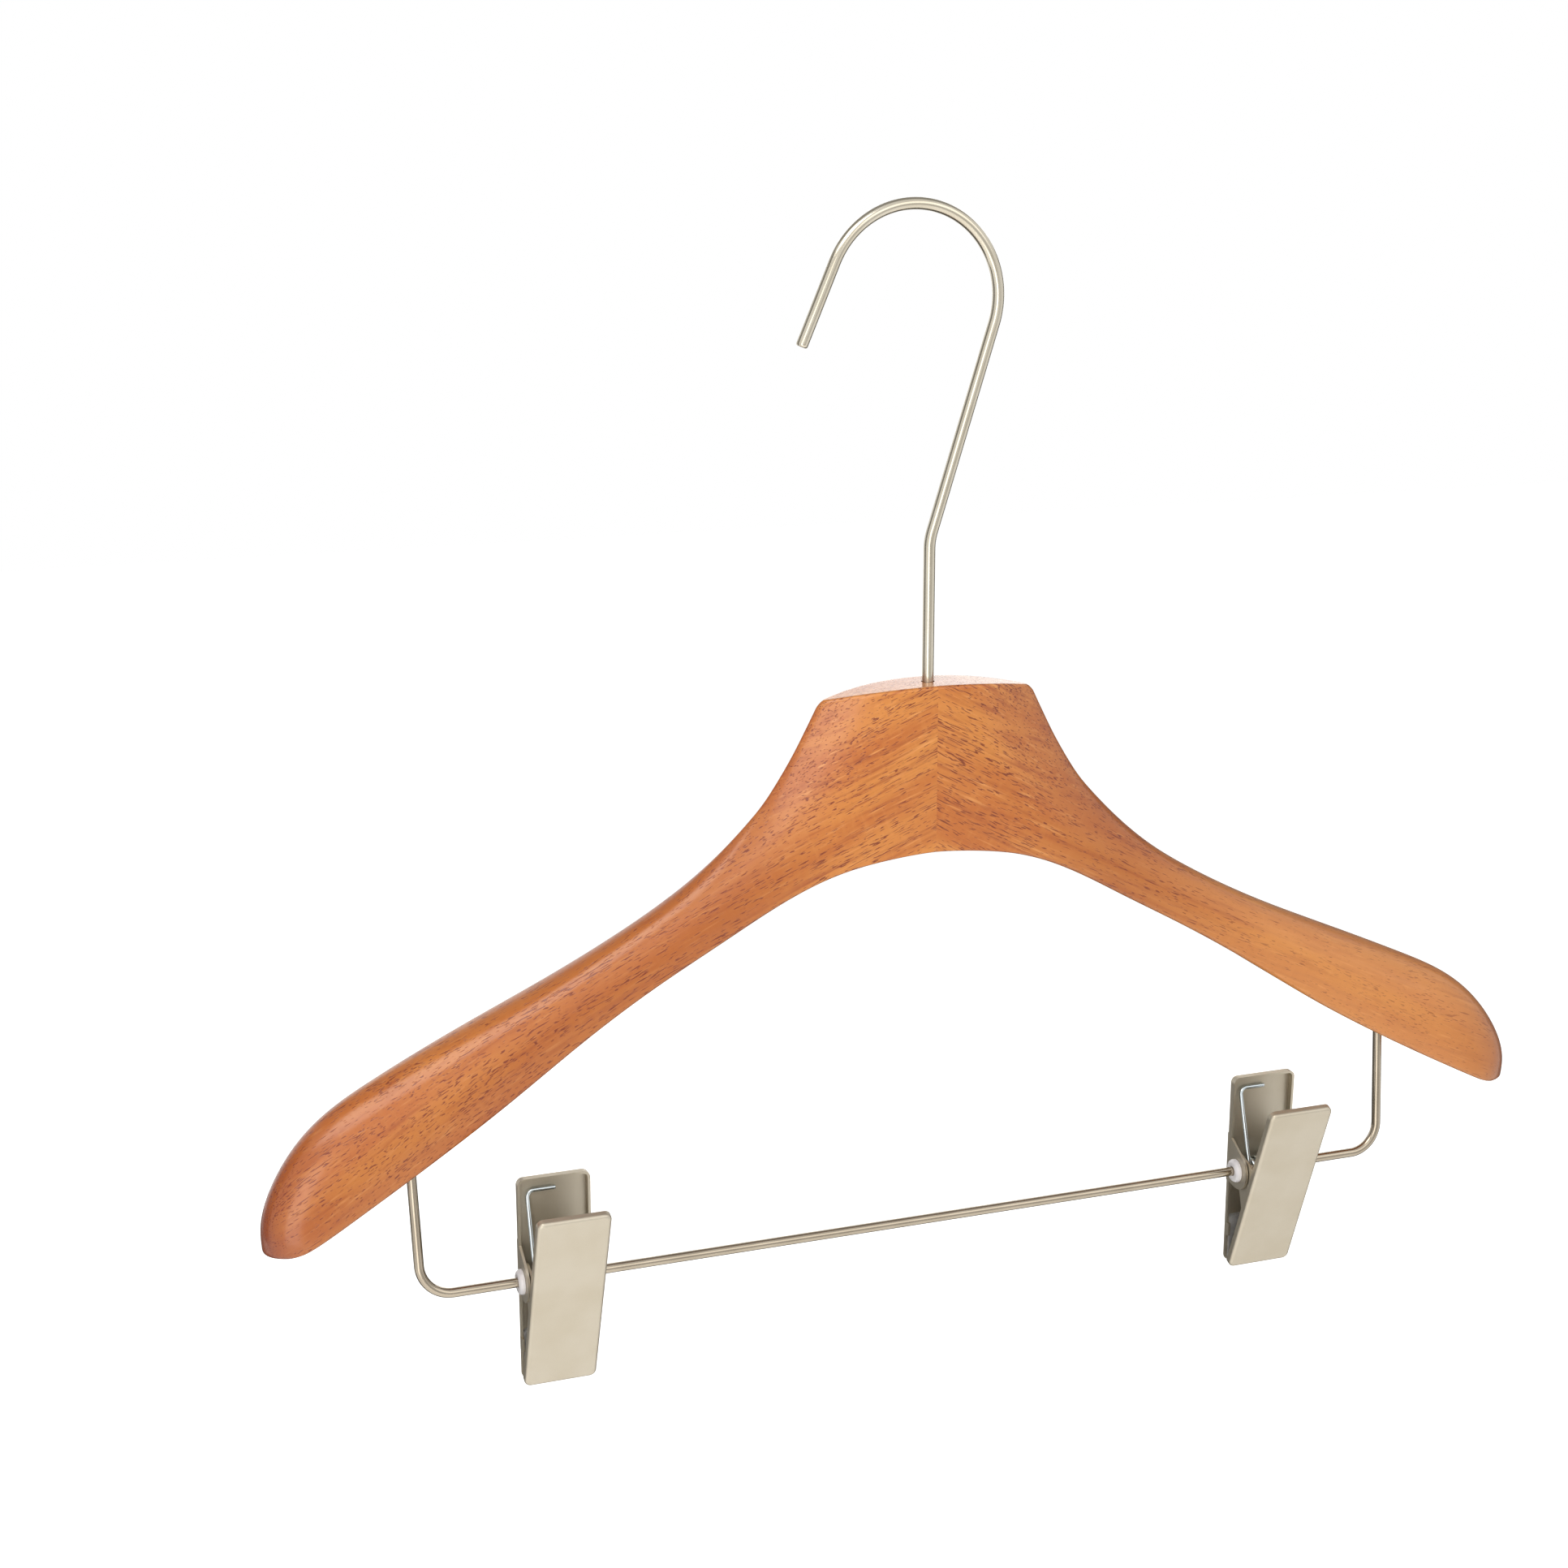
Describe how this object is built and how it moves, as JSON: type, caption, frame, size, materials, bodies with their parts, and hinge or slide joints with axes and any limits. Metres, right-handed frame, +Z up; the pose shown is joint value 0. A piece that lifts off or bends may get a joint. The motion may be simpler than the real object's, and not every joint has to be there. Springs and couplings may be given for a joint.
{
  "type": "skirt hanger",
  "caption": "Contoured wooden hanger with a swivel wire hook and a wire bar below, on which spring-loaded metal clips with clear grip pads slide and turn.",
  "frame": {"origin": "the top of the hook's inside, where it sits on a rail", "axes": "+X to the right along the clip bar, +Y to the back, +Z up; the shoulders' ends curve forward, to -Y"},
  "size_m": [0.423, 0.045, 0.3548],
  "materials": {
    "lacquered_wood": "satin lacquer",
    "plain_wood": "bare",
    "satin_nickel_wire": "satin nickel plate",
    "plain_steel": "plain",
    "satin_nickel_sheet": "satin nickel plate",
    "zinc_spring_wire": "bright zinc plate",
    "clear_plastic": "clear"
  },
  "bodies": {
    "hook": {"hook": "satin_nickel_wire"},
    "hanger_body": {"left_arm": "lacquered_wood", "right_arm": "lacquered_wood", "joint_key": "plain_wood", "hook_sleeve": "plain_steel", "hook_washer": "plain_steel", "clip_bar": "satin_nickel_wire"},
    "left_clip_carriage": {"left_outer_bush": "clear_plastic", "left_inner_bush": "clear_plastic"},
    "left_clip_back": {"left_back_jaw": "satin_nickel_sheet", "left_back_pad": "clear_plastic", "left_spring": "zinc_spring_wire"},
    "left_clip_front": {"left_front_jaw": "satin_nickel_sheet", "left_front_pad": "clear_plastic"},
    "right_clip_carriage": {"right_outer_bush": "clear_plastic", "right_inner_bush": "clear_plastic"},
    "right_clip_back": {"right_back_jaw": "satin_nickel_sheet", "right_back_pad": "clear_plastic", "right_spring": "zinc_spring_wire"},
    "right_clip_front": {"right_front_jaw": "satin_nickel_sheet", "right_front_pad": "clear_plastic"}
  },
  "joints": [
    {"name": "hook_swivel", "type": "hinge", "parent": "hook", "child": "hanger_body", "pos_m": [0.006, 0, -0.1407], "axis": [0, 0, 1], "continuous": true},
    {"name": "left_clip_slide", "type": "slide", "parent": "hanger_body", "child": "left_clip_carriage", "axis": [1, 0, 0], "range_m": [-0.019, 0.1025]},
    {"name": "left_clip_swing", "type": "hinge", "parent": "left_clip_carriage", "child": "left_clip_back", "pos_m": [-0.1165, -0.0079, -0.315], "axis": [1, 0, 0], "continuous": true},
    {"name": "left_clip_open", "type": "hinge", "parent": "left_clip_back", "child": "left_clip_front", "pos_m": [-0.1165, -0.0079, -0.315], "axis": [-1, 0, 0], "range_deg": [0, 30], "stiffness_Nm_per_rad": 0.1, "springref_deg": -17.19, "deforming": ["left_spring"]},
    {"name": "right_clip_slide", "type": "slide", "parent": "hanger_body", "child": "right_clip_carriage", "axis": [1, 0, 0], "range_m": [-0.1025, 0.019]},
    {"name": "right_clip_swing", "type": "hinge", "parent": "right_clip_carriage", "child": "right_clip_back", "pos_m": [0.1285, -0.0079, -0.315], "axis": [1, 0, 0], "continuous": true},
    {"name": "right_clip_open", "type": "hinge", "parent": "right_clip_back", "child": "right_clip_front", "pos_m": [0.1285, -0.0079, -0.315], "axis": [-1, 0, 0], "range_deg": [0, 30], "stiffness_Nm_per_rad": 0.1, "springref_deg": -17.19, "deforming": ["right_spring"]}
  ]
}
